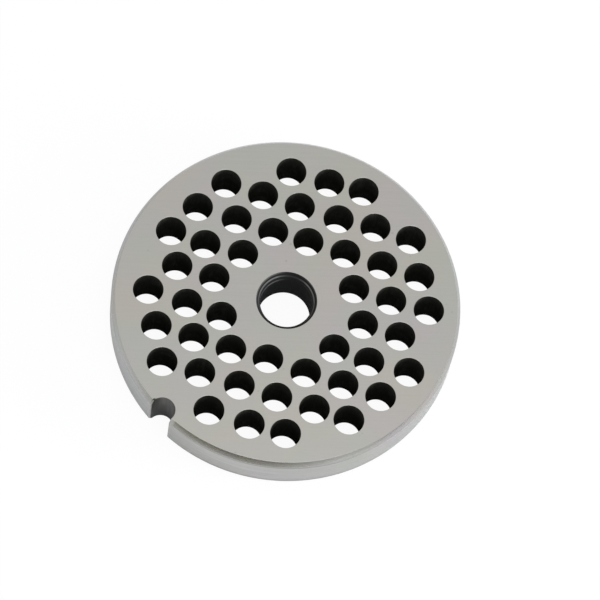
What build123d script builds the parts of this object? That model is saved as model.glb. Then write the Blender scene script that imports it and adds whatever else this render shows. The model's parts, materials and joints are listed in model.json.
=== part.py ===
from build123d import *
from math import ceil, hypot, sin, radians
import os

# Perforated plate of a meat grinder: one disc of steel, turned, drilled, notched and ground on both faces.
# Millimetres. The plate's axis is Z, its lower face lies at Z = 0, and its locating notch faces -Y.
# The two faces are alike, because the plate is turned over when one of them is worn.

# Disc, with a steep turned edge round both faces
outer_diameter = 82.0
thickness = 12.0
rim_edge_width = 0.9
rim_edge_depth = 1.35

# Bore for the stud at the end of the feed screw
bore_diameter = 12.3

# Each mouth of the bore steps outwards: a short lead, a narrow ledge, and a taper up to the face
lead_width = 0.25
lead_depth = 0.4
ledge_width = 0.35
ledge_depth = 0.1
taper_width = 0.35
taper_depth = 0.85

# Cutting holes, straight and sharp, on a triangular grid centred on the plate
hole_diameter = 7.15
hole_pitch = 9.12
least_hub_land = 4.0  # no hole comes nearer than this to the bore's mouth
least_rim_land = 3.0  # nor nearer than this to the edge of the face
row_angle = 28.5  # the rows of holes stand this far round from X
pattern_shift = 0.45  # the whole grid sits this far off the axis, along its rows

# Holes that wandered more than 0.4 as they were drilled, by row and by place along it in pitches from the middle.
# Each moved by so many wander steps along its row and across it.
wander_step = 0.25
wandered = {
    (-4, -1): (-1, -1),
    (-4, 0): (2, -2),
    (-3, -2.5): (-2, -1),
    (-3, -1.5): (-2, 0),
    (-3, 2.5): (-3, 0),
    (-2, 0): (-1, 2),
    (-1, -2.5): (2, -1),
    (-1, -1.5): (0, -3),
    (-1, 2.5): (-2, -2),
    (1, -3.5): (2, 0),
    (1, -2.5): (0, -2),
    (1, 3.5): (0, 2),
    (2, -2): (2, 0),
    (2, -1): (2, -1),
    (3, 0.5): (2, 0),
    (3, 1.5): (1, 3),
    (3, 2.5): (0, 2),
    (4, 0): (1, 1),
    (4, 1): (-2, 3),
}

# Notch in the rim for the locating pin of the grinder's mouth, round at its root
notch_radius = 2.95
notch_depth = 3.9


def section_outline():
    """Corners of the plate's half section, as radius and height, from the bore's wall out to the rim and back."""
    ledge_inside = bore_diameter / 2 + lead_width
    ledge_outside = ledge_inside + ledge_width
    # radius, and depth below the nearer face
    corners = [
        (bore_diameter / 2, lead_depth + ledge_depth + taper_depth),
        (ledge_inside, ledge_depth + taper_depth),
        (ledge_outside, taper_depth),
        (ledge_outside + taper_width, 0),
        (outer_diameter / 2 - rim_edge_width, 0),
        (outer_diameter / 2, rim_edge_depth),
    ]
    return corners + [(radius, thickness - depth) for radius, depth in reversed(corners)]


def hole_centres():
    """Centres of the cutting holes in the plane of the rows, from the grid, its shift and each hole's wander."""
    mouth_radius = bore_diameter / 2 + lead_width + ledge_width + taper_width
    nearest = mouth_radius + least_hub_land + hole_diameter / 2
    farthest = outer_diameter / 2 - rim_edge_width - least_rim_land - hole_diameter / 2
    row_gap = hole_pitch * sin(radians(60))
    reach = ceil(farthest / row_gap)
    centres = []
    for row in range(-reach, reach + 1):
        for step in range(-reach, reach + 1):
            place = step + row % 2 / 2  # odd rows stand half a pitch along
            along, across = place * hole_pitch, row * row_gap
            if nearest <= hypot(along, across) <= farthest:
                steps_along, steps_across = wandered.get((row, place), (0, 0))
                along += pattern_shift + steps_along * wander_step
                across += steps_across * wander_step
                centres.append((along, across))
    return centres


centres = hole_centres()

with BuildPart() as plate:
    # Turned disc with its bore
    with BuildSketch(Plane.XZ):
        with BuildLine():
            Polyline(*section_outline(), close=True)
        make_face()
    revolve(axis=Axis.Z)

    # Cutting holes, through both faces
    with BuildSketch(Plane.XY.rotated((0, 0, row_angle))):
        with Locations(*centres):
            Circle(hole_diameter / 2)
    extrude(amount=thickness, mode=Mode.SUBTRACT)

    # Locating notch, milled in from the rim
    with BuildSketch(Plane.XY):
        with Locations((0, notch_depth - notch_radius - outer_diameter / 2)):
            Circle(notch_radius)
            Rectangle(2 * notch_radius, notch_depth, align=(Align.CENTER, Align.MAX))
    extrude(amount=thickness, mode=Mode.SUBTRACT)

plate.part.label = "grinder_plate"

os.makedirs("parts", exist_ok=True)
export_step(plate.part, "parts/grinder_plate.step")
print(f"{len(centres)} cutting holes, {plate.part.volume:.0f} cubic millimetres of steel")
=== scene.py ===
# %% [markdown]
# # The steel plate of a meat grinder
# A grinder plate is one thick disc of hardened steel. It is turned on a lathe, drilled with many
# holes, milled with a notch that stops it from turning in the machine, hardened, and last of all
# ground bright on both faces. Its look comes from how each surface was made: the faces carry fine
# straight lines from the grinding wheel, the rim carries rings from the lathe, and the walls of the
# holes keep the black skin of the hardening.
#
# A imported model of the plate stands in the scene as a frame. Its shape is right, but its circles are
# short straight runs, which a shiny metal shows at once. So the plate is made again here as fine
# surfaces in the same place, and every size is measured on the frame.

import json
import math

import bmesh
import bpy
import numpy as np
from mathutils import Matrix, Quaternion, Vector
from mathutils.geometry import delaunay_2d_cdt


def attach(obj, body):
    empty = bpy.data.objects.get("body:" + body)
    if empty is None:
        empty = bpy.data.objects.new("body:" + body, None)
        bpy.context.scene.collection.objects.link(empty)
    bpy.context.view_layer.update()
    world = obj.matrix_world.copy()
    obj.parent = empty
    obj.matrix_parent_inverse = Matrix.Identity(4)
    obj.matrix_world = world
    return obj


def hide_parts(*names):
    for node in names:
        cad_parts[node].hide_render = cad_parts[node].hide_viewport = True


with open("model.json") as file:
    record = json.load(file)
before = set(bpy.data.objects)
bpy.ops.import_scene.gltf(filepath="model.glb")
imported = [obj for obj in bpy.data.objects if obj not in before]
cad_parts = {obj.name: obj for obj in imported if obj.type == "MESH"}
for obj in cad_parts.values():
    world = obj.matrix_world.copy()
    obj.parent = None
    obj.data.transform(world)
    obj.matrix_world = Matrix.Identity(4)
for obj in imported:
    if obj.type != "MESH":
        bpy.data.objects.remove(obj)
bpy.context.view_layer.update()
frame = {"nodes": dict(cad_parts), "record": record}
coarse_plate = frame["nodes"]["grinder_plate"]
record = frame["record"]
MM = 0.001  # one millimetre in metres

# %% [markdown]
# ## Measuring the frame
# The frame's mesh is loose triangles, so the sizes have to be found again. Three facts are enough.
# A corner of the turned shape is a pair of numbers, its distance from the axis and its height. A
# facet of a hole's wall faces the hole's axis, so a step along its normal ends near that axis. And
# the points of one rim of a hole lie on a circle, which a least squares fit gives exactly. The sizes
# could be written down a second time, but then a change to the frame would leave this script behind.

# %% Read the triangles
def triangles_of(mesh):
    """A mesh's points, and its triangles as three point numbers each."""
    points = np.zeros(len(mesh.vertices) * 3)
    mesh.vertices.foreach_get("co", points)
    mesh.calc_loop_triangles()
    numbers = np.zeros(len(mesh.loop_triangles) * 3, dtype=np.int64)
    mesh.loop_triangles.foreach_get("vertices", numbers)
    return points.reshape(-1, 3), numbers.reshape(-1, 3)


points, triangles = triangles_of(coarse_plate.data)
corners = points[triangles]
middles = corners.mean(axis=1)
facings = np.cross(corners[:, 1] - corners[:, 0], corners[:, 2] - corners[:, 0])
facings /= np.linalg.norm(facings, axis=1)[:, None]
thickness = points[:, 2].max()
print(f"frame: {len(triangles)} triangles, {thickness / MM:.1f} mm thick")

# %% Find the turned shape
LEAST_POINTS = 24  # a circle of the turned shape has many points, and the notch's corners have few


def upper_profile(low, high):
    """Corners of the turned shape between two radii, as radius and height, in its upper half."""
    radii = np.hypot(points[:, 0], points[:, 1])
    chosen = (radii > low) & (radii < high) & (points[:, 2] > thickness / 2)
    pairs = np.stack([radii[chosen], points[chosen, 2]], axis=1)
    rounded_pairs, counts = np.unique(np.round(pairs / MM, 3), axis=0, return_counts=True)
    return rounded_pairs[counts > LEAST_POINTS] * MM


plate_radius = next(m["dims"]["r_mm"] for m in record["mounts"] if m["name"] == "rim") * MM
bore_radius = next(m["dims"]["r_mm"] for m in record["mounts"] if m["name"] == "bore") * MM
bore_zone = 1.4 * bore_radius  # past the bore's mouth, and short of the holes
rim_zone = plate_radius - 1.5 * MM  # past the holes, and short of the sloping edge
bore_corners = upper_profile(0, bore_zone)
rim_corners = upper_profile(rim_zone, 2 * plate_radius)
print("bore corners in mm", (bore_corners / MM).round(2).tolist())
print("rim corners in mm", (rim_corners / MM).round(2).tolist())

# %% Tell the notch and the top face from the rest
TOUCH = 0.01 * MM  # nearer than this is the same height or radius
NOTCH_SIDE, PAST_ROOT = 4 * MM, 2 * MM  # how far the notch's surroundings reach
notch_box = next(o["box_m"] for o in record["physics"]["openings"] if o["name"] == "locating_notch")


def by_the_notch(places):
    """Which places lie in the notch or close beside it."""
    return (places[:, 1] < notch_box[1][1] + PAST_ROOT) & (np.abs(places[:, 0]) < NOTCH_SIDE)


on_top = points[:, 2] > thickness - TOUCH
print(f"{on_top.sum()} points on the upper face, {by_the_notch(points).sum()} by the notch")

# %% Find the holes
ABOUT_A_RADIUS = 3.5 * MM  # of a hole
SEARCH = 1.15 * ABOUT_A_RADIUS  # a hole's own rim lies within this, and its neighbours' don't
LEAN = 0.01  # an upright wall's normal has less height than this


def fitted_circle(xy):
    """Centre and radius of the circle through flat points.

    On a circle, x*x + y*y is linear in the centre and one constant, so least squares finds them.
    """
    system = np.column_stack([2 * xy, np.ones(len(xy))])
    x, y, rest = np.linalg.lstsq(system, (xy**2).sum(axis=1), rcond=None)[0]
    return x, y, math.sqrt(rest + x * x + y * y)


away = np.hypot(middles[:, 0], middles[:, 1])
walls = (np.abs(facings[:, 2]) < LEAN) & (away > bore_zone) & (away < rim_zone)
walls &= ~by_the_notch(middles)
votes = middles[walls, :2] + ABOUT_A_RADIUS * facings[walls, :2]
hole_list = []
while len(votes):
    near = np.hypot(*(votes - votes[0]).T) < ABOUT_A_RADIUS
    from_guess = np.hypot(*(points[:, :2] - votes[near].mean(axis=0)).T)
    hole_list.append(fitted_circle(points[on_top & (from_guess < SEARCH)][:, :2]))
    votes = votes[~near]
holes = np.array(hole_list)
radius_spread = np.ptp(holes[:, 2]) / MM
print(f"{len(holes)} holes, radius {holes[:, 2].mean() / MM:.3f} mm, spread {radius_spread:.4f} mm")

# %% Find the notch
notch_points = points[by_the_notch(points)]
inside_rim = np.hypot(notch_points[:, 0], notch_points[:, 1]) < rim_corners[0, 0] - TOUCH
round_root = notch_points[inside_rim & (notch_points[:, 2] > thickness - TOUCH)]
_, notch_centre, notch_radius = fitted_circle(np.unique(round_root[:, :2].round(7), axis=0))
print(f"notch: radius {notch_radius / MM:.3f} mm, centre {notch_centre / MM:.3f} mm from the axis")

# %% [markdown]
# ## Surfaces as whole arrays
# Every wall of the plate is a grid: one number runs along the wall and another runs across it, and a
# formula turns the pair into a point. numpy works out all points of a grid at once. The grids share
# the points of their common edges, so that merging the doubles at the end closes the plate into one
# watertight skin.
#
# A cutter's edge is never perfectly sharp. Every corner of a profile is therefore replaced by a small
# curve, a quadratic one with the old corner as its middle control point. It is tangent to both sides,
# so light runs over the edge as a fine line, which is what makes steel look solid.

# %% Soften the corners of a profile
LONGEST_REACH = 0.45  # of the side next to the corner, so that two curves never meet


def softened(profile, size, steps=4):
    """A profile whose inner corners become curves that start and end size away from the corner.

    With a, b, c for a curve's start, corner and end, its points are (1-t)^2 a + 2t(1-t) b + t^2 c.
    The size is one number, or one for each inner corner.
    """
    rows = [profile[:1]]
    t = np.linspace(0, 1, steps + 1)[:, None]
    sizes = np.broadcast_to(size, len(profile) - 2)
    for before, corner, after, reach in zip(profile[:-2], profile[1:-1], profile[2:], sizes):
        length_in, length_out = np.linalg.norm(before - corner), np.linalg.norm(after - corner)
        start = corner + min(reach, LONGEST_REACH * length_in) * (before - corner) / length_in
        end = corner + min(reach, LONGEST_REACH * length_out) * (after - corner) / length_out
        rows.append((1 - t) ** 2 * start + 2 * t * (1 - t) * corner + t**2 * end)
    rows.append(profile[-1:])
    return np.concatenate(rows)


def both_halves(upper, wall_rows):
    """An upper profile that ends on an upright wall, rows down that wall, and its mirror image."""
    edge_radius, edge_height = upper[-1]
    heights = np.linspace(edge_height, thickness - edge_height, wall_rows)[1:-1]
    wall = np.column_stack([np.full(len(heights), edge_radius), heights])
    lower = upper[::-1] * [1, -1] + [0, thickness]
    return np.concatenate([upper, wall, lower])


# %% Collect grids into one skin
FINISHES = ["ground_face", "turned_edge", "turned_rim"]
FINISHES += ["scaled_hole", "scaled_bore", "milled_notch"]
skin_points, skin_faces, skin_finishes = [], [], []


def add_surface(surface_points, faces, finish):
    """Adds points and faces to the skin. The faces count from the surface's own first point."""
    start = sum(len(p) for p in skin_points)
    skin_points.append(surface_points)
    skin_faces.extend((faces + start).tolist())
    if not isinstance(finish, np.ndarray):
        finish = np.full(len(faces), FINISHES.index(finish))
    skin_finishes.extend(finish.tolist())


def grid_faces(rows, columns, closed):
    """Four-sided faces of a grid, which wrap from its last column to its first if it is closed."""
    row = np.arange(rows - 1)[:, None]
    column = np.arange(columns if closed else columns - 1)[None, :]
    beside = (column + 1) % columns
    faces = [row * columns + column, row * columns + beside]
    faces += [(row + 1) * columns + beside, (row + 1) * columns + column]
    return np.stack(faces, axis=-1).reshape(-1, 4)


def turned_grid(profile, angles, centre=(0.0, 0.0)):
    """Rows of a profile carried round an upright axis: x = r cos a, y = r sin a, z = h.

    The angles are the same for every row, or differ by row.
    """
    radius, height = profile[:, :1], profile[:, 1:]
    angles = np.broadcast_to(angles, (len(profile), np.shape(angles)[-1]))
    x = centre[0] + radius * np.cos(angles)
    y = centre[1] + radius * np.sin(angles)
    return np.stack([x, y, np.broadcast_to(height, x.shape)], axis=-1)


# %% [markdown]
# ## The notch, where three surfaces meet
# The notch is a slot with a round root, and it runs out through the flat face, the sloping edge and
# the upright rim. A boolean cut could make it, but its edge would stay sharp. Here the outline of the
# notch is asked for at a given distance from the axis instead. Where the slot is round, two circles
# cross, one round the axis and one round the root. Where it is straight, a circle meets a line. The
# same question with a slightly wider slot gives the outer edge of the softened corner.
#
# The real edges aren't all alike. The faces were ground last, so the plate's edge is crisp there and
# softer on the turned side. Out on the rim somebody went over the notch with a file, and on its left
# the cutter broke a small nick out of the upper face. So the width of the broken edge, its lip, is a
# number for every point of the outline.

# %% Outline of the notch
def notch_edge(radii, widening):
    """Points of the notch's right side at given distances from the axis, for a widened slot."""
    half_width = notch_radius + widening
    y_round = (radii**2 - half_width**2 + notch_centre**2) / (2 * notch_centre)
    y_straight = -np.sqrt(radii**2 - half_width**2)
    is_round = y_round > notch_centre
    x = np.where(is_round, np.sqrt(np.maximum(radii**2 - y_round**2, 0)), half_width)
    return x, np.where(is_round, y_round, y_straight)


def notch_arc(start_x, start_y, widening, count):
    """Points of the round root between its ends, evenly spaced by angle, from left to right."""
    end = math.atan2(start_y - notch_centre, start_x)
    angles = np.linspace(math.pi - end, end, count)[1:-1]
    half_width = notch_radius + widening
    return half_width * np.cos(angles), notch_centre + half_width * np.sin(angles)


# %% Profile of the rim, and its own outward direction
RIM_SOFTNESS = np.array([0.04, 0.11]) * MM  # crisp at the ground face, softer on the turned side
RIM_WALL_ROWS = 5
face_row = np.array([[rim_corners[0, 0] - 1 * MM, thickness]])
rim_line = np.concatenate([face_row, rim_corners, [[plate_radius, thickness / 2]]])
rim_upper = softened(rim_line, RIM_SOFTNESS, steps=5)[1:-1]
rim_profile = both_halves(rim_upper, RIM_WALL_ROWS)
face_edge_radius = rim_profile[0, 0]
slopes = np.gradient(rim_profile, axis=0)
rim_outward = np.column_stack([-slopes[:, 1], slopes[:, 0]])
rim_outward /= np.linalg.norm(rim_outward, axis=1)[:, None]
rim_outward[[0, -1]] = [[0, 1], [0, -1]]
is_wall = np.isclose(rim_profile[:, 0], plate_radius, atol=1e-9)
rim_outward[is_wall] = [1, 0]
print(f"rim: {len(rim_profile)} rows, and the flat face ends at {face_edge_radius / MM:.2f} mm")

# %% How far the notch's edge is broken
NOTCH_LIP = 0.07 * MM  # along the flat faces
RIM_LIP = 0.36 * MM  # along the upright rim, where the file went over it
FILED = 0.30 * MM  # more on the right, halfway down the slope; its rows by the corners get 0.01 mm
NICK = 0.40 * MM  # where the cutter came out, on the left of the upper face
NICK_LENGTH = 0.50 * MM
NICK_PLACE = 0.10 * MM  # how far it is along the root from the face's edge
ARC_POINTS = 81
towards_rim = (rim_profile[:, 0] - face_edge_radius) / (plate_radius - face_edge_radius)
towards_rim = np.clip(towards_rim, 0, 1)
plain_lip = NOTCH_LIP + (RIM_LIP - NOTCH_LIP) * towards_rim


def nick_at(distance):
    """Extra width at a distance from the nick's middle: a bell, exp(-(distance / length)^2)."""
    return NICK * np.exp(-((distance / NICK_LENGTH) ** 2))


from_corner = np.hypot(rim_profile[:, 0] - face_edge_radius, rim_profile[:, 1] - thickness)
lip_left = plain_lip + nick_at(from_corner + NICK_PLACE)
lip_right = plain_lip + FILED * np.sin(math.pi * towards_rim) ** 2
arc_distance = np.linspace(0, 1, ARC_POINTS)[1:-1] * math.pi * notch_radius
lip_top_arc = NOTCH_LIP + nick_at(arc_distance - NICK_PLACE)
lip_low_arc = np.full(ARC_POINTS - 2, NOTCH_LIP)
print(f"lip: up to {lip_left.max() / MM:.2f} mm left and {lip_right.max() / MM:.2f} mm right")


# %% Rings of the lip
def in_order(sunk):
    """Rows that never step back: the radius grows to the middle row and shrinks after it.

    The height only falls. Without this a wide lip would fold over itself at a corner.
    """
    middle = len(sunk) // 2
    radii = sunk[:, 0].copy()
    radii[: middle + 1] = np.maximum.accumulate(radii[: middle + 1])
    radii[middle:] = np.maximum.accumulate(radii[middle:][::-1])[::-1]
    return np.column_stack([radii, np.minimum.accumulate(sunk[:, 1])])


def notch_ring(t):
    """The loop round the notch's mouth at a step t of its lip, from the skin, 0, to the wall, 1.

    With s for the lip's size at a point, the slot is wider there by s (1-t)^2, and sunk by s t^2.
    """
    sides = []
    for lip in (lip_right, lip_left):
        sunk = in_order(rim_profile - (lip * t**2)[:, None] * rim_outward)
        x, y = notch_edge(sunk[:, 0], lip * (1 - t) ** 2)
        sides.append(np.column_stack([x, y, sunk[:, 1]]))
    right, left = sides[0], sides[1][::-1] * [-1, 1, 1]
    arcs = []
    for lip, height, sink in ((lip_top_arc, thickness, -1), (lip_low_arc, 0, 1)):
        arc_x, arc_y = notch_arc(right[0, 0], right[0, 1], lip * (1 - t) ** 2, ARC_POINTS)
        arcs.append(np.column_stack([arc_x, arc_y, height + sink * lip * t**2]))
    return np.concatenate([left, arcs[0], right, arcs[1][::-1]])


# %% Lip of the notch
LIP_ROWS = 6
lip_rings = np.stack([notch_ring(t) for t in np.linspace(0, 1, LIP_ROWS)])
lip_points = lip_rings.reshape(-1, 3)
ring_length = lip_rings.shape[1]
lip_faces = grid_faces(LIP_ROWS, ring_length, closed=True)
lip_column = lip_faces[:, 0] % ring_length
side_count = len(rim_profile)  # a ring is the left side, the upper arc, the right side, the lower arc
right_start = side_count + ARC_POINTS - 2
low_arc_start = right_start + side_count
on_top_arc = (lip_column >= side_count) & (lip_column < right_start)
on_root = on_top_arc | (lip_column >= low_arc_start)
nick_middle = lip_rings[0][side_count]
from_nick = np.linalg.norm(lip_points[lip_faces].mean(axis=1) - nick_middle, axis=1)
in_nick = from_nick < NICK_LENGTH
lip_finish = np.where(on_root, FINISHES.index("milled_notch"), FINISHES.index("turned_edge"))
lip_finish[in_nick] = FINISHES.index("scaled_hole")
add_surface(lip_points, lip_faces, lip_finish)
print(f"notch lip: {len(lip_faces)} faces, {in_nick.sum()} of them in the nick")

# %% Wall of the notch
upper_count = len(rim_upper)
on_wall = lip_rings[-1]
wall_top = on_wall[side_count - upper_count : right_start + upper_count]
low_parts = [on_wall[:upper_count], on_wall[low_arc_start:]]
low_parts.append(on_wall[low_arc_start - upper_count : low_arc_start])
wall_low = np.concatenate([part[::-1] for part in low_parts])
down = np.linspace(0, 1, RIM_WALL_ROWS)[:, None, None]
notch_wall = wall_top * (1 - down) + wall_low * down
wall_faces = grid_faces(RIM_WALL_ROWS, len(wall_top), closed=False)
add_surface(notch_wall.reshape(-1, 3), wall_faces, "milled_notch")
print(f"notch wall: {len(wall_faces)} faces")

# %% [markdown]
# ## Rim, bore and holes
# These are the work of the lathe and the drill, and each is a profile carried round an upright axis.
# Blender's Screw modifier does that too, but it can't stop at the notch: each row of the rim starts
# and ends on the notch's edge, so its angles are worked out row by row.

# %% Rim
RIM_COLUMNS = 720
left_side = lip_rings[0][:side_count][::-1]
right_side = lip_rings[0][right_start:low_arc_start]
first_angle = np.arctan2(right_side[:, 1], right_side[:, 0])[:, None]
last_angle = np.arctan2(left_side[:, 1], left_side[:, 0])[:, None] + 2 * math.pi
along = np.linspace(0, 1, RIM_COLUMNS)[None, :]
rim_grid = turned_grid(rim_profile, first_angle + along * (last_angle - first_angle))
rim_faces = grid_faces(side_count, RIM_COLUMNS, closed=False)
upright_row = (is_wall[:-1] & is_wall[1:])[rim_faces[:, 0] // RIM_COLUMNS]
rim_finish = np.where(upright_row, FINISHES.index("turned_rim"), FINISHES.index("turned_edge"))
add_surface(rim_grid.reshape(-1, 3), rim_faces, rim_finish)
print(f"rim: {len(rim_faces)} faces, {upright_row.sum()} of them upright")

# %% Bore
BORE_SOFTNESS = 0.07 * MM
BORE_COLUMNS = 160
BORE_WALL_ROWS = 9
bore_line = bore_corners[np.argsort(-bore_corners[:, 0])]
bore_line = np.concatenate(
    [[bore_line[0] + [1 * MM, 0]], bore_line, [[bore_radius, thickness / 2]]]
)
bore_profile = both_halves(softened(bore_line, BORE_SOFTNESS)[1:-1], BORE_WALL_ROWS)
bore_angles = np.linspace(0, 2 * math.pi, BORE_COLUMNS, endpoint=False)
bore_grid = turned_grid(bore_profile, bore_angles)
bore_faces = grid_faces(len(bore_profile), BORE_COLUMNS, closed=True)[:, ::-1]
add_surface(bore_grid.reshape(-1, 3), bore_faces, "scaled_bore")
print(f"bore: {len(bore_faces)} faces")

# %% Cutting holes
HOLE_LIP = 0.07 * MM
HOLE_COLUMNS = 80
HOLE_LIP_ROWS = 3
HOLE_WALL_ROWS = 7
lip = np.linspace(0, 1, HOLE_LIP_ROWS)[:, None]
lip_shape = np.concatenate([(1 - lip) ** 2, -(lip**2)], axis=1) * HOLE_LIP
hole_angles = np.linspace(0, 2 * math.pi, HOLE_COLUMNS, endpoint=False)
hole_rims = []
for x, y, radius in holes:
    profile = both_halves(lip_shape + [radius, thickness], HOLE_WALL_ROWS)
    grid = turned_grid(profile, hole_angles, (x, y))
    faces = grid_faces(len(profile), HOLE_COLUMNS, closed=True)[:, ::-1]
    row = faces[:, -1] // HOLE_COLUMNS
    on_lip = (row < HOLE_LIP_ROWS - 1) | (row >= len(profile) - HOLE_LIP_ROWS)
    finish = np.where(on_lip, FINISHES.index("ground_face"), FINISHES.index("scaled_hole"))
    add_surface(grid.reshape(-1, 3), faces, finish)
    hole_rims.append(grid[0, :, :2])
print(f"{len(hole_rims)} holes of {len(faces)} faces each")

# %% [markdown]
# ## The flat faces
# The two ground faces do the work: the knife sweeps over one of them and shears the meat at the
# holes. A flat face with fifty openings has no natural grid, so it is filled by a constrained
# Delaunay triangulation, which keeps every edge of every opening. It fills the openings too, and the
# triangles whose middle lies inside one are dropped afterwards. Both faces are the same flat pattern,
# one at the top and one turned over below.

# %% Fill between the loops
MERGED_BY_THE_FILL = 1e-6  # in millimetres


def filled_between(loops):
    """Points and triangles of a flat area that has every side of every loop among its edges."""
    flat_points = np.concatenate(loops)
    counts = [len(loop) for loop in loops]
    starts = np.cumsum([0] + counts[:-1])
    sides = []
    for start, count in zip(starts, counts):
        step = np.arange(count)
        sides.append(np.column_stack([start + step, start + (step + 1) % count]))
    places = [tuple(p) for p in flat_points / MM]
    filled = delaunay_2d_cdt(places, np.concatenate(sides).tolist(), [], 0, MERGED_BY_THE_FILL)
    return np.array([tuple(p) for p in filled[0]]) * MM, np.array(filled[2])


def inside(loop, spots):
    """Which spots lie inside a closed loop.

    From such a spot, a line to the right crosses an odd number of the loop's sides.
    """
    ends = np.roll(loop, -1, axis=0)
    x, y = spots[:, :1], spots[:, 1:]
    spans = (loop[:, 1] > y) != (ends[:, 1] > y)
    rise = np.where(ends[:, 1] == loop[:, 1], 1.0, ends[:, 1] - loop[:, 1])
    crossing = loop[:, 0] + (y - loop[:, 1]) / rise * (ends[:, 0] - loop[:, 0])
    return (spans & (x < crossing)).sum(axis=1) % 2 == 1


# %% Both flat faces
def add_flat_face(rim_row, root_arc, height, order):
    """Fills the area inside the rim and the notch's root, and outside the bore and the holes."""
    openings = [bore_grid[0, :, :2], *hole_rims]
    outline = np.concatenate([rim_row, root_arc])[:, :2]
    face_points, face_triangles = filled_between([outline, *openings])
    middles_there = face_points[face_triangles].mean(axis=1)
    kept = inside(outline, middles_there)
    for opening in openings:
        kept &= ~inside(opening, middles_there)
    flat = np.column_stack([face_points, np.full(len(face_points), height)])
    add_surface(flat, face_triangles[kept][:, ::order], "ground_face")
    print(f"flat face at {height / MM:.0f} mm: {kept.sum()} triangles")


add_flat_face(rim_grid[0], lip_rings[0][side_count:right_start], thickness, 1)
add_flat_face(rim_grid[-1], lip_rings[0][low_arc_start:][::-1], 0.0, -1)

# %% Make the skin one mesh
CREASE = math.radians(30)
SAME_POINT, NO_LENGTH = 0.001 * MM, 0.0005 * MM
FLAT = 0.9999  # height of the normal of a face that lies flat


def steel_mesh(name):
    """The surfaces as one closed mesh, its doubled points merged and its finishes as slots."""
    mesh = bpy.data.meshes.new(name)
    mesh.from_pydata(np.concatenate(skin_points).tolist(), [], skin_faces)
    mesh.polygons.foreach_set("material_index", skin_finishes)
    skin = bmesh.new()
    skin.from_mesh(mesh)
    bmesh.ops.remove_doubles(skin, verts=skin.verts, dist=SAME_POINT)
    bmesh.ops.dissolve_degenerate(skin, edges=skin.edges, dist=NO_LENGTH)
    bmesh.ops.recalc_face_normals(skin, faces=skin.faces)
    for face in skin.faces:
        face.smooth = True
    for edge in skin.edges:
        flat_sides = sum(abs(face.normal.z) > FLAT for face in edge.link_faces)
        edge.smooth = flat_sides != 1 and edge.calc_face_angle(0) < CREASE
    open_edges = sum(len(edge.link_faces) != 2 for edge in skin.edges)
    print(f"{len(skin.verts)} points, {len(skin.faces)} faces, {open_edges} open edges")
    print(f"steel: {skin.calc_volume() / MM**3:.0f} cubic millimetres")
    skin.to_mesh(mesh)
    skin.free()
    return mesh


def linked(name, data):
    """A new object with the given data, in the scene and at the world origin."""
    made = bpy.data.objects.new(name, data)
    bpy.context.collection.objects.link(made)
    return made


plate_mesh = steel_mesh("steel_plate")
steel_plate = linked("steel_plate", plate_mesh)
plate_mesh.calc_loop_triangles()
print(f"steel_plate: {len(plate_mesh.loop_triangles)} triangles")

# %% Put it in the frame
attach(steel_plate, "root")
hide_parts("grinder_plate")

# %% [markdown]
# ## Patterns that several finishes share
# Every finish of the plate is the same steel, marked in its own way by the tool that made it. What
# they share is built once as node groups: the lines that a cutting edge or a grinding grain leaves,
# the slow drift of colour over a bare metal, and small knocks. Each material then places them with
# its own values. Pictures of steel could be wrapped on instead, but they would stretch at the edges.
# All groups read Object coordinates, so that the pattern stays on the steel wherever the plate goes.

# %% Helpers for node trees
def put(tree, kind, inputs=(), **settings):
    """Adds a node. An input that is given a socket is linked to it, and other values are set."""
    node = tree.nodes.new("ShaderNode" + kind)
    for name, value in settings.items():
        setattr(node, name, value)
    for name, value in dict(inputs).items():
        if isinstance(value, bpy.types.NodeSocket):
            tree.links.new(value, node.inputs[name])
        else:
            node.inputs[name].default_value = value
    return node


def sum_of(tree, *terms, operation="ADD"):
    """Chains Math nodes over the terms, from left to right."""
    total = terms[0]
    for term in terms[1:]:
        total = put(tree, "Math", {0: total, 1: term}, operation=operation).outputs[0]
    return total


def product_of(tree, *factors):
    """The factors multiplied."""
    return sum_of(tree, *factors, operation="MULTIPLY")


def difference_of(tree, first, second):
    """The first less the second."""
    return sum_of(tree, first, second, operation="SUBTRACT")


def remap(tree, value, low, high, new_low=0.0, new_high=1.0):
    """Carries a value from one range to another, clamped, with a straight line between."""
    old_range = {"Value": value, "From Min": low, "From Max": high}
    new_range = {"To Min": new_low, "To Max": new_high}
    return put(tree, "MapRange", old_range | new_range).outputs["Result"]


def mixed(tree, factor, first, second, blend="MIX"):
    """Mixes two colours. The Mix node has three sets of inputs, and its colours are 6 and 7."""
    node = put(tree, "Mix", data_type="RGBA", blend_type=blend)
    for place, value in ((0, factor), (6, first), (7, second)):
        if isinstance(value, bpy.types.NodeSocket):
            tree.links.new(value, node.inputs[place])
        else:
            node.inputs[place].default_value = value
    return node.outputs[2]


# %% Helpers for places on the plate
def axis_of(tree, place, axis):
    """One of the three numbers of a place."""
    return put(tree, "SeparateXYZ", {0: place}).outputs[axis]


def flattened(tree, place):
    """A place with its height taken away."""
    return put(tree, "VectorMath", {0: place, 1: (1, 1, 0)}, operation="MULTIPLY").outputs[0]


def new_group(name, inputs, outputs):
    """A node group with named sockets. Returns it with its own inputs and outputs."""
    tree = bpy.data.node_groups.new(name, "ShaderNodeTree")
    for label, kind in inputs.items():
        tree.interface.new_socket(label, in_out="INPUT", socket_type="NodeSocket" + kind)
    for label, kind in outputs.items():
        tree.interface.new_socket(label, in_out="OUTPUT", socket_type="NodeSocket" + kind)
    given = tree.nodes.new("NodeGroupInput").outputs
    return tree, given, tree.nodes.new("NodeGroupOutput").inputs


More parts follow.
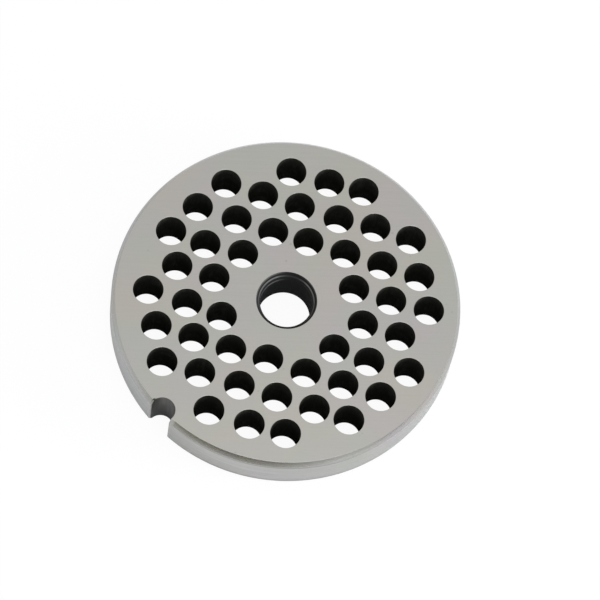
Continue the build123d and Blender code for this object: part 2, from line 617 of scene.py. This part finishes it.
# %% Lines left by a tool
def build_tool_lines():
    """Two layers of noise on coordinates stretched along the cut, so that specks become lines."""
    tree, given, result = new_group("tool_lines", {"Stretched": "Vector"}, {"Height": "Float"})
    layers = []
    for scale, detail, share in ((1.0, 2.0, 0.6), (3.1, 3.0, 0.4)):
        noise = put(tree, "TexNoise", {"Vector": given[0], "Scale": scale, "Detail": detail})
        layers.append(product_of(tree, noise.outputs[0], share))
    tree.links.new(sum_of(tree, *layers), result["Height"])
    return tree


tool_lines = build_tool_lines()

# %% Rings left by the lathe
SLOW = 40.0  # how fast a ring changes along its own way round


def build_lathe_rings():
    """Tool lines along which height plus radius stays the same, as along a mark of the lathe."""
    inputs = {"Object": "Vector", "Rings": "Float"}
    tree, given, result = new_group("lathe_rings", inputs, {"Height": "Float"})
    flat = flattened(tree, given["Object"])
    radius = put(tree, "VectorMath", {0: flat}, operation="LENGTH").outputs["Value"]
    parts = put(tree, "SeparateXYZ", {0: given["Object"]}).outputs
    across = product_of(tree, sum_of(tree, radius, parts["Z"]), given["Rings"])
    numbers = {axis: product_of(tree, parts[axis], SLOW) for axis in "XY"} | {"Z": across}
    stretched = put(tree, "CombineXYZ", numbers).outputs[0]
    lines = put(tree, "Group", {"Stretched": stretched}, node_tree=tool_lines).outputs["Height"]
    tree.links.new(lines, result["Height"])
    return tree


lathe_rings = build_lathe_rings()


# %% Where a place is on the plate
def build_depth_below_face():
    """Millimetres below the nearer face: half the thickness less the height off the middle."""
    inputs, outputs = {"Object": "Vector"}, {"Depth": "Float"}
    tree, given, result = new_group("depth_below_face", inputs, outputs)
    off_middle = sum_of(tree, axis_of(tree, given["Object"], "Z"), -thickness / 2)
    off_middle = put(tree, "Math", {0: off_middle}, operation="ABSOLUTE").outputs[0]
    depth = difference_of(tree, thickness / 2, off_middle)
    tree.links.new(product_of(tree, depth, 1 / MM), result["Depth"])
    return tree


def build_side_of_plate():
    """Cosine of the angle between a place's side of the axis and a given way: 1 there."""
    inputs, outputs = {"Object": "Vector", "Way": "Vector"}, {"Cosine": "Float"}
    tree, given, result = new_group("side_of_plate", inputs, outputs)
    flat = flattened(tree, given["Object"])
    side = put(tree, "VectorMath", {0: flat}, operation="NORMALIZE").outputs[0]
    cosine = put(tree, "VectorMath", {0: side, 1: given["Way"]}, operation="DOT_PRODUCT")
    tree.links.new(cosine.outputs["Value"], result["Cosine"])
    return tree


depth_below_face, side_of_plate = build_depth_below_face(), build_side_of_plate()

# %% Slow drift of colour
DRIFTS = [  # scale of the patches, shift of the pattern, tint
    (60.0, 0.0, (1.05, 1.0, 0.93, 1)),
    (85.0, 3.7, (1.02, 0.97, 1.05, 1)),
    (110.0, 8.1, (0.95, 1.03, 0.97, 1)),
]


def build_bare_metal():
    """A base colour that drifts to warm, to lilac and to green in patches of about a centimetre."""
    inputs = {"Object": "Vector", "Steel": "Color", "Drift": "Float"}
    tree, given, result = new_group("bare_metal", inputs, {"Color": "Color"})
    colour = given["Steel"]
    for scale, shift, tint in DRIFTS:
        moved = put(tree, "VectorMath", {0: given["Object"], 1: (shift,) * 3}, operation="ADD")
        noise = put(tree, "TexNoise", {"Vector": moved.outputs[0], "Scale": scale, "Detail": 3.0})
        amount = product_of(tree, remap(tree, noise.outputs[0], 0.42, 0.68), given["Drift"])
        colour = mixed(tree, amount, colour, tint, "MULTIPLY")
    tree.links.new(colour, result["Color"])
    return tree


bare_metal = build_bare_metal()

# %% Pits and scratches
PIT_CHANCE, PIT_SIZE = 0.80, 0.16  # the share of cells without a pit, and the largest pit in a cell
SCRATCH_CHANCE, SCRATCH_SIZE = 0.93, 0.10
SCRATCH_TURNS = (0.5, 2.1)  # radians, for two families of scratches
SCRATCH_STRETCH = (0.07, 1.0, 1.0)


def marks_in_cells(tree, place, scale, channel, chance, size, soft):
    """Spots in the cells of a Voronoi pattern, most of them left out by the cell's own colour."""
    cell = put(tree, "TexVoronoi", {"Vector": place, "Scale": scale})
    draw = put(tree, "SeparateColor", {0: cell.outputs["Color"]}).outputs[channel]
    reach = remap(tree, draw, chance, 1.0, 0.0, size)
    return remap(tree, difference_of(tree, reach, cell.outputs["Distance"]), 0.0, soft)


def build_knocks():
    """Sparse round pits, and sparse long scratches, which are spots on a stretched place."""
    inputs = {"Object": "Vector", "Pit scale": "Float", "Scratch scale": "Float"}
    tree, given, result = new_group("knocks", inputs, {"Pits": "Float", "Scratches": "Float"})
    place, scale = given["Object"], given["Scratch scale"]
    pits = marks_in_cells(tree, place, given["Pit scale"], 0, PIT_CHANCE, PIT_SIZE, 0.05)
    scratches = 0.0
    for turn in SCRATCH_TURNS:
        turned = {"Vector": place, "Rotation": (0, 0, turn), "Scale": SCRATCH_STRETCH}
        drawn = put(tree, "Mapping", turned).outputs[0]
        mark = marks_in_cells(tree, drawn, scale, 1, SCRATCH_CHANCE, SCRATCH_SIZE, 0.04)
        scratches = sum_of(tree, mark, scratches)
    tree.links.new(pits, result["Pits"])
    tree.links.new(scratches, result["Scratches"])
    return tree


knocks = build_knocks()
for group in bpy.data.node_groups:
    print(f"group {group.name}: {len(group.nodes)} nodes")

# %% [markdown]
# ## Six finishes of one steel
# The finishes are the marks of six jobs: the ground faces, the turned edge and the turned rim, the
# holes and the bore under their fire scale, and the milled notch, which still mirrors a little.
#
# Bare steel is a metal, so its colour is the colour of what it mirrors. Fire scale is an oxide and no
# metal, so it is made as a dull dark paint with almost no shine. That also keeps the pale floor from
# showing in the walls. Wear, painted highlights and painted dark reflections are laid over a finish by
# masks that read the place on the plate.

# %% Start and end a finish
def new_material(name):
    """An empty material and its node tree."""
    material = bpy.data.materials.new(name)
    material.use_nodes = True
    return material, material.node_tree


def new_finish(name, constants):
    """A material whose shader has the given constants, its tree, and the Object coordinates."""
    material, tree = new_material(name)
    for socket, value in constants.items():
        tree.nodes["Principled BSDF"].inputs[socket].default_value = value
    return material, tree, put(tree, "TexCoord").outputs["Object"]


def finished(material, height, distance, fed):
    """Feeds values to the shader, and a height in units of distance as its normal."""
    tree = material.node_tree
    bump = put(tree, "Bump", {"Height": height, "Distance": distance, "Strength": 1.0})
    for socket, value in (fed | {"Normal": bump.outputs[0]}).items():
        tree.links.new(value, tree.nodes["Principled BSDF"].inputs[socket])
    return material


# %% Place the groups in a finish
def grouped(tree, group, inputs):
    """Places a node group in a material and gives back its outputs."""
    return put(tree, "Group", inputs, node_tree=group).outputs


def lines_along(tree, place, stretch):
    """The group tool_lines on a stretched place. The lines run where the stretch is smallest."""
    stretched = put(tree, "Mapping", {"Vector": place, "Scale": stretch}).outputs[0]
    return grouped(tree, tool_lines, {"Stretched": stretched})["Height"]


def drifting(tree, place, steel, drift):
    """The group bare_metal over a colour."""
    return grouped(tree, bare_metal, {"Object": place, "Steel": steel, "Drift": drift})["Color"]


# %% Masks for wear
def band_of(tree, value, low, high, soft):
    """One between low and high, falling to zero over soft on both sides."""
    rise = remap(tree, value, low - soft, low)
    return product_of(tree, rise, remap(tree, value, high, high + soft, 1.0, 0.0))


def depth_of(tree, place):
    """The group depth_below_face."""
    return grouped(tree, depth_below_face, {"Object": place})["Depth"]


def side_towards(tree, place, degrees):
    """The group side_of_plate, for a way given as an angle in the plate's plane."""
    way = (math.cos(math.radians(degrees)), math.sin(math.radians(degrees)), 0)
    return grouped(tree, side_of_plate, {"Object": place, "Way": way})["Cosine"]


# %% [markdown]
# ### Ground face
# A wide grinding wheel passes over the hardened plate in one direction, so its lines are straight and
# very fine. Noise stretched along one way makes them, with no seam at the holes.

# %% Ground face
GRIND_ANGLE = math.radians(45.7)
GRIND_STRETCH = (60, 2600, 60)
GROUND_STEEL = (0.404, 0.396, 0.371, 1)
LINE_DARK = (0.25, 0.25, 0.25, 1)
SCRATCH_BRIGHT = (0.75, 0.75, 0.74, 1)
PIT_DARK = (0.12, 0.12, 0.12, 1)


def ground_face():
    """Straight grinding lines, a drifting colour, a few pits and scratches."""
    material, tree, place = new_finish("ground_face", {"Metallic": 1.0})
    along = put(tree, "Mapping", {"Vector": place, "Rotation": (0, 0, -GRIND_ANGLE)}).outputs[0]
    lines = lines_along(tree, along, GRIND_STRETCH)
    marks = grouped(tree, knocks, {"Object": place, "Pit scale": 420.0, "Scratch scale": 130.0})
    colour = drifting(tree, place, GROUND_STEEL, 0.55)
    colour = mixed(tree, remap(tree, lines, 0.35, 0.65, 0.0, 0.10), colour, LINE_DARK)
    colour = mixed(tree, product_of(tree, marks["Scratches"], 0.35), colour, SCRATCH_BRIGHT)
    colour = mixed(tree, product_of(tree, marks["Pits"], 0.2), colour, PIT_DARK)
    roughness = remap(tree, lines, 0.3, 0.7, 0.30, 0.42)
    pits = product_of(tree, marks["Pits"], 1.5)
    height = difference_of(tree, product_of(tree, lines, 0.5), pits)
    return finished(material, height, 0.004 * MM, {"Base Color": colour, "Roughness": roughness})


# %% [markdown]
# ### Turned rim and its sloping edge
# A lathe leaves level rings. Along the face the edge has a painted dark line, a painted reflection of
# the dark horizon, a file left one corner of the notch rough and pale, and the front of the rim has a
# narrow painted dark band, another painted reflection. Wear and painted reflection are one list of
# masks, each with its own colour and roughness, so that one function makes both finishes.

# %% Wear and painted dark reflections of the rim and its edge
PAINTED_BAND_SIDE = -50.0  # degrees: the way in which the painted dark band on the rim lies
FILED_REACH = (0.6 * MM, 1.0 * MM)
filed_x, filed_y = notch_edge(np.array([plate_radius - 0.45 * MM]), 0.3 * MM)
FILED_CORNER = (float(filed_x[0]), float(filed_y[0]), 0)


def edge_wear_and_painted_line(tree, place):
    """A painted dark line below the face, a painted reflection, and a patch by the notch that a file
    left rough.
    """
    by_the_face = band_of(tree, depth_of(tree, place), 0.05, 0.40, 0.15)
    between = {0: flattened(tree, place), 1: FILED_CORNER}
    distance = put(tree, "VectorMath", between, operation="DISTANCE").outputs["Value"]
    filed = remap(tree, distance, *FILED_REACH, 1.0, 0.0)
    # painted reflection: a darker band just below the face stands for the dark horizon that the edge
    # mirrors
    painted_dark_line = (product_of(tree, by_the_face, 0.35), (0.32, 0.32, 0.30, 1), 0.3)
    return [painted_dark_line, (filed, (0.50, 0.50, 0.485, 1), 0.75)]


def rim_painted_band(tree, place):
    """A painted dark band under the sloping edge, on the front only: a painted reflection of the
    tent's opening.
    """
    # painted reflection: the dark band on the front stands for the dark opening that the rim mirrors
    step = band_of(tree, depth_of(tree, place), 1.3, 2.0, 0.06)
    in_front = remap(tree, side_towards(tree, place, PAINTED_BAND_SIDE), 0.82, 0.94)
    return [(product_of(tree, step, in_front, 0.9), (0.25, 0.25, 0.235, 1), 0.35)]


print(f"filed corner at {FILED_CORNER[0] / MM:.2f}, {FILED_CORNER[1] / MM:.2f} mm")

# %% Turned finishes
RING_DARK = (0.18, 0.18, 0.17, 1)


def turned_finish(name, steel, rings, roughness_range, groove, wear_and_painted_dark):
    """Rings from the lathe over a drifting colour, and on top the wear and the painted dark
    reflections.
    """
    material, tree, place = new_finish(name, {"Metallic": 1.0})
    lines = grouped(tree, lathe_rings, {"Object": place, "Rings": rings})["Height"]
    marks = grouped(tree, knocks, {"Object": place, "Pit scale": 500.0, "Scratch scale": 160.0})
    colour = drifting(tree, place, steel, 0.8)
    colour = mixed(tree, remap(tree, lines, 0.35, 0.65, 0.0, 0.3), colour, RING_DARK)
    colour = mixed(tree, product_of(tree, marks["Pits"], 0.3), colour, PIT_DARK)
    roughness = remap(tree, lines, 0.3, 0.7, *roughness_range)
    for mask, mark_colour, mark_roughness in wear_and_painted_dark(tree, place):
        colour = mixed(tree, mask, colour, mark_colour)
        change = difference_of(tree, mark_roughness, roughness)
        roughness = sum_of(tree, roughness, product_of(tree, mask, change))
    return finished(material, lines, groove, {"Base Color": colour, "Roughness": roughness})


# %% [markdown]
# ### Fire scale and the milled notch
# The furnace leaves a dry black skin on steel, thick in the holes, where no tool comes afterwards. In
# the notch it is thinner, and the cutter's upright lines show through it. The notch's colour is
# painted lighter at the top, a painted light from above, and it is darker on the right.

# %% Fire scale on the walls
DRILL_STRETCH = (900, 900, 120)
HOLE_SCALE = (0.029, 0.028, 0.0235, 1)
WORN_SCALE = (0.060, 0.059, 0.053, 1)


def scaled_finish(name):
    """A dull dark oxide with fine cloudy wear."""
    material, tree, place = new_finish(name, {"Specular IOR Level": 0.0})
    cloud = put(tree, "TexNoise", {"Vector": place, "Scale": 350.0, "Detail": 4.0}).outputs[0]
    drawn = lines_along(tree, place, DRILL_STRETCH)
    worn = product_of(tree, remap(tree, cloud, 0.4, 0.7), remap(tree, drawn, 0.4, 0.65))
    colour = mixed(tree, worn, HOLE_SCALE, WORN_SCALE)
    roughness = remap(tree, cloud, 0.3, 0.7, 0.75, 0.95)
    return finished(material, drawn, 0.01 * MM, {"Base Color": colour, "Roughness": roughness})


# %% Milled notch
CUTTER_STRETCH = (1400, 1400, 90)
NOTCH_SHADED_LOW = (0.045, 0.046, 0.045, 1)
NOTCH_LIT_TOP = (0.155, 0.150, 0.143, 1)
NOTCH_RIGHT = (0.062, 0.068, 0.063, 1)
CUTTER_DARK = (0.06, 0.06, 0.058, 1)


def notch_finish():
    """Milled steel that went grey in the fire, painted lighter towards the top, with the cutter's
    upright lines.
    """
    material, tree, place = new_finish("milled_notch", {"Metallic": 1.0})
    lines = lines_along(tree, place, CUTTER_STRETCH)
    # painted light: the colour gets lighter towards the top, as if lit from above
    height = remap(tree, axis_of(tree, place, "Z"), 0.0, thickness)
    right = (0.3 * notch_radius, 0.9 * notch_radius)
    on_the_right = remap(tree, axis_of(tree, place, "X"), *right, 0.0, 0.7)
    shaded_grey = mixed(tree, height, NOTCH_SHADED_LOW, NOTCH_LIT_TOP)
    shaded_grey = mixed(tree, on_the_right, shaded_grey, NOTCH_RIGHT)
    steel = drifting(tree, place, shaded_grey, 1.0)
    colour = mixed(tree, remap(tree, lines, 0.35, 0.65, 0.0, 0.3), steel, CUTTER_DARK)
    roughness = remap(tree, lines, 0.3, 0.7, 0.45, 0.60)
    return finished(material, lines, 0.01 * MM, {"Base Color": colour, "Roughness": roughness})


# %% [markdown]
# ### The bore
# Highlight rings are painted over the fire scale in three places: at the mouth, on the ledge inside
# it, and along a line whose depth changes with the side. They are partly real, as lighter, half
# metallic steel that reflects, and partly painted highlights, strongest on one side and gone on
# another, as the light fell. Three bands make them, two by depth and one by a depth that changes with
# the side.

# %% Where the highlight rings are painted
NO_HIGHLIGHT_SIDE = 122.5  # degrees: the painted highlight rings fade out here, and are painted on both sides of it
# the side where the painted highlight rings are strongest
BRIGHTEST_HIGHLIGHT_SIDE = NO_HIGHLIGHT_SIDE + 90


def painted_highlight_mask(tree, place, cloud, highlight_side):
    """One where a highlight ring is painted as lighter bare steel, and zero where the scale is whole.
    """
    towards_no_highlight = side_towards(tree, place, NO_HIGHLIGHT_SIDE)
    highlight_half = remap(tree, highlight_side, 0.1, 0.55)
    depth = depth_of(tree, place)
    mouth_strength = remap(tree, highlight_half, 0, 1, 0.4, 0.9)
    mouth = product_of(tree, band_of(tree, depth, -0.1, 0.15, 0.35), mouth_strength)
    ledge_strength = remap(tree, highlight_side, -1, 1, 0.7, 0.95)
    ledge = product_of(tree, band_of(tree, depth, 0.89, 0.98, 0.03), ledge_strength)
    below_top = difference_of(tree, thickness, axis_of(tree, place, "Z"))
    slant = sum_of(tree, product_of(tree, below_top, 1 / MM), product_of(tree, highlight_side, -0.6))
    line_strength = remap(tree, highlight_half, 0, 1, 0.12, 1.0)
    line = product_of(tree, band_of(tree, slant, 1.75, 2.3, 0.2), line_strength)
    # painted highlight: the rings are strong on one side of the bore and fade out on another
    painted_reach = remap(tree, towards_no_highlight, 0.99, 0.83, 0.1, 1.0)
    painted_reach = product_of(tree, painted_reach, remap(tree, towards_no_highlight, 0.6, -0.7, 1.0, 0.0))
    patchy = remap(tree, cloud, 0.35, 0.6, 0.75, 1.0)
    return product_of(tree, sum_of(tree, mouth, ledge, line), painted_reach, patchy)


# %% Bore
BLUISH_SCALE = (0.0185, 0.0190, 0.0205, 1)
OLIVE_SCALE = (0.0140, 0.0135, 0.0112, 1)
HIGHLIGHT_STEEL = (0.185, 0.185, 0.177, 1)


def bore_finish():
    """Fire scale, bluish on one side and olive on the other, with painted highlight rings of lighter
    steel.
    """
    material, tree, place = new_finish("scaled_bore", {"Specular IOR Level": 0.15})
    cloud = put(tree, "TexNoise", {"Vector": place, "Scale": 220.0, "Detail": 3.0}).outputs[0]
    highlight_side = side_towards(tree, place, BRIGHTEST_HIGHLIGHT_SIDE)
    painted_highlight = painted_highlight_mask(tree, place, cloud, highlight_side)
    scale = mixed(tree, remap(tree, highlight_side, 1, -1), BLUISH_SCALE, OLIVE_SCALE)
    # painted highlight rings: lighter, half metallic steel laid over the scale
    fed = {"Base Color": mixed(tree, painted_highlight, scale, HIGHLIGHT_STEEL)}
    fed["Roughness"] = remap(tree, painted_highlight, 0.0, 1.0, 0.8, 0.4)
    fed["Metallic"] = product_of(tree, painted_highlight, 0.5)
    return finished(material, cloud, 0.01 * MM, fed)


# %% Give the finishes to the plate
EDGE_STEEL, RIM_STEEL = (0.435, 0.432, 0.418, 1), (0.45, 0.45, 0.44, 1)
edge_look = (EDGE_STEEL, 5200.0, (0.20, 0.32), 0.003 * MM, edge_wear_and_painted_line)
rim_look = (RIM_STEEL, 3600.0, (0.28, 0.42), 0.006 * MM, rim_painted_band)
finish_materials = {
    "ground_face": ground_face(),
    "turned_edge": turned_finish("turned_edge", *edge_look),
    "turned_rim": turned_finish("turned_rim", *rim_look),
    "scaled_hole": scaled_finish("scaled_hole"),
    "scaled_bore": bore_finish(),
    "milled_notch": notch_finish(),
}
for name in FINISHES:
    plate_mesh.materials.append(finish_materials[name])
print("finishes:", ", ".join(material.name for material in plate_mesh.materials))

# %% [markdown]
# ## A white table and a white tent
# Small steel parts are photographed in a white tent on a white table. The steel mirrors the tent, so
# the world is white for every ray that the camera or a reflection sends out, and a little lower for
# the light that falls on dull surfaces. The table is a disc that shines almost white by itself, with
# a small dull part that takes the soft shadow of the plate.
#
# A tent has an opening for the camera. The sloping edge of the plate mirrors the horizon on the
# camera's side, and that is why it looks dark in front. One curved card, dark at the opening and
# greyish at a seam, and seen only in reflections, stands for that horizon. Two lamps add to the
# tent: one from above, and one low at the right, which lights the table.

# %% World
def only_seen(tree):
    """One for a ray from the camera, a mirror or a glass, and zero for one that gathers light."""
    path = put(tree, "LightPath").outputs
    seen = path["Is Camera Ray"]
    for other in ("Is Glossy Ray", "Is Transmission Ray"):
        seen = sum_of(tree, seen, path[other], operation="MAXIMUM")
    return seen


WHITE = (1, 1, 1, 1)
TENT_LIGHT = (0.72, 0.725, 0.74, 1)
world = bpy.data.worlds.new("white_tent")
world.use_nodes = True
bpy.context.scene.world = world
sky = world.node_tree
tent = mixed(sky, only_seen(sky), TENT_LIGHT, WHITE)
sky.links.new(tent, sky.nodes["Background"].inputs["Color"])

# %% Surface of the table
DULL_TABLE = (0.8, 0.8, 0.8, 1)
TABLE_SHINES = {  # for each kind of ray; the steel mirrors the table close by, in its own shadow
    "Is Glossy Ray": 0.1,
    "Is Transmission Ray": 0.94,
    "Is Camera Ray": 0.94,
}


def table_material():
    """A plain dull white for most rays, and for those above a glow with a dull rest under it."""
    material, tree = new_material("white_table")
    path = put(tree, "LightPath").outputs
    surface = put(tree, "BsdfDiffuse", {"Color": DULL_TABLE}).outputs[0]
    for ray, shine in TABLE_SHINES.items():
        dull = put(tree, "BsdfDiffuse", {"Color": (1 - shine, 1 - shine, 1 - shine, 1)})
        glow = put(tree, "Emission", {"Color": WHITE, "Strength": shine})
        shown = put(tree, "AddShader", {0: dull.outputs[0], 1: glow.outputs[0]})
        parts = {0: path[ray], 1: surface, 2: shown.outputs[0]}
        surface = put(tree, "MixShader", parts).outputs[0]
    tree.links.new(surface, tree.nodes["Material Output"].inputs["Surface"])
    return material


# %% Table
TABLE_RADIUS = 150 * MM
TABLE_CORNERS = 128
UNDER_THE_PLATE = 0.02 * MM


def white_table():
    """A flat disc just under the plate: x = r cos a, y = r sin a, filled as one face."""
    angles = np.linspace(0, 2 * math.pi, TABLE_CORNERS, endpoint=False)
    rim = turned_grid(np.array([[TABLE_RADIUS, -UNDER_THE_PLATE]]), angles)[0]
    mesh = bpy.data.meshes.new("table")
    mesh.from_pydata(rim.tolist(), [], [list(range(TABLE_CORNERS))])
    mesh.materials.append(table_material())
    print(f"table: {2 * TABLE_RADIUS / MM:.0f} mm across")
    return linked("table", mesh)


white_table()

# %% Colours of the horizon
OPENING_TINT = np.array([0.82, 0.83, 0.89])  # how much of each colour the opening takes away
SEAM_TINT = np.array([0.34, 0.32, 0.27])


def horizon_glow(degrees):
    """Colour of the horizon by angle: white, less the opening, less the seam.

    The opening is exp(-((a + 68) / 40)^4), and the seam is exp(-((a - 8) / 13)^2).
    """
    opening = np.exp(-(((degrees + 68) / 40) ** 4))[:, None] * OPENING_TINT
    seam = np.exp(-(((degrees - 8) / 13) ** 2))[:, None] * SEAM_TINT
    return np.clip(1 - opening - seam, 0, 1)


def horizon_material():
    """A glow in the colours that the mesh's points carry."""
    material, tree = new_material("tent_horizon")
    colour = put(tree, "Attribute", attribute_name="glow").outputs["Color"]
    shine = put(tree, "Emission", {"Color": colour, "Strength": 1.0})
    tree.links.new(shine.outputs[0], tree.nodes["Material Output"].inputs["Surface"])
    return material


# %% Horizon of the tent
HORIZON_COLUMNS = 180


def tent_horizon(distance, low, high):
    """An upright cylinder, seen in reflections only: x = d cos a, y = d sin a, z = h."""
    degrees = np.linspace(-180, 180, HORIZON_COLUMNS, endpoint=False)
    grid = turned_grid(np.array([[distance, low], [distance, high]]), np.radians(degrees))
    faces = grid_faces(2, HORIZON_COLUMNS, closed=True)
    mesh = bpy.data.meshes.new("tent_horizon")
    mesh.from_pydata(grid.reshape(-1, 3).tolist(), [], faces.tolist())
    glow = np.column_stack([horizon_glow(degrees), np.ones(HORIZON_COLUMNS)])
    colours = mesh.attributes.new("glow", "FLOAT_COLOR", "POINT")
    colours.data.foreach_set("color", np.tile(glow, (2, 1)).ravel())
    mesh.materials.append(horizon_material())
    horizon = linked("tent_horizon", mesh)
    horizon.visible_camera = horizon.visible_diffuse = horizon.visible_shadow = False
    print(f"horizon: glow from {glow.min():.2f} to {glow.max():.2f}")
    return horizon


tent_horizon(0.45, -0.10, 0.13)


# %% Lamps
def soft_lamp(name, place, size, power, colour):
    """A square lamp aimed at the plate."""
    light = bpy.data.lights.new(name, "AREA")
    light.size = size
    light.energy = power
    light.color = colour
    lamp = linked(name, light)
    lamp.location = place
    lamp.rotation_euler = (-Vector(place)).to_track_quat("-Z", "Y").to_euler()
    print(f"{name}: {power} W")
    return lamp


soft_lamp("upper_lamp", (0.11, -0.04, 0.46), 0.20, 0.42, (0.88, 0.92, 1.0))
side_lamp = soft_lamp("side_lamp", (0.446, 0.268, 0.14), 0.20, 2.7, (1.0, 1.0, 1.0))
side_lamp.visible_glossy = False  # it lights the table, and the steel mirrors the table

# %% [markdown]
# ## Camera
# The plate is seen through a long lens from well above. The lens and the place were worked out from
# the shape of the holes and the outline in the photo, and the camera is rolled a little about its own
# axis.

# %% Camera
CAMERA_PLACE = Vector((193.453, -270.765, 838.515)) * MM
CAMERA_AIM = Vector((2.070, 2.349, 12.0)) * MM
CAMERA_ROLL = math.radians(11.53)

lens = bpy.data.cameras.new("camera")
lens.sensor_fit = "HORIZONTAL"
lens.sensor_width = 36.0
lens.lens = 228.65
camera = linked("camera", lens)
level_view = (CAMERA_AIM - CAMERA_PLACE).to_track_quat("-Z", "Y")
camera.rotation_mode = "QUATERNION"
camera.rotation_quaternion = level_view @ Quaternion((0, 0, 1), CAMERA_ROLL)
camera.location = CAMERA_PLACE
bpy.context.scene.camera = camera
bpy.context.scene.view_settings.view_transform = "Standard"
print(f"camera: {lens.lens:.1f} mm lens, {(CAMERA_AIM - CAMERA_PLACE).length:.3f} m away")
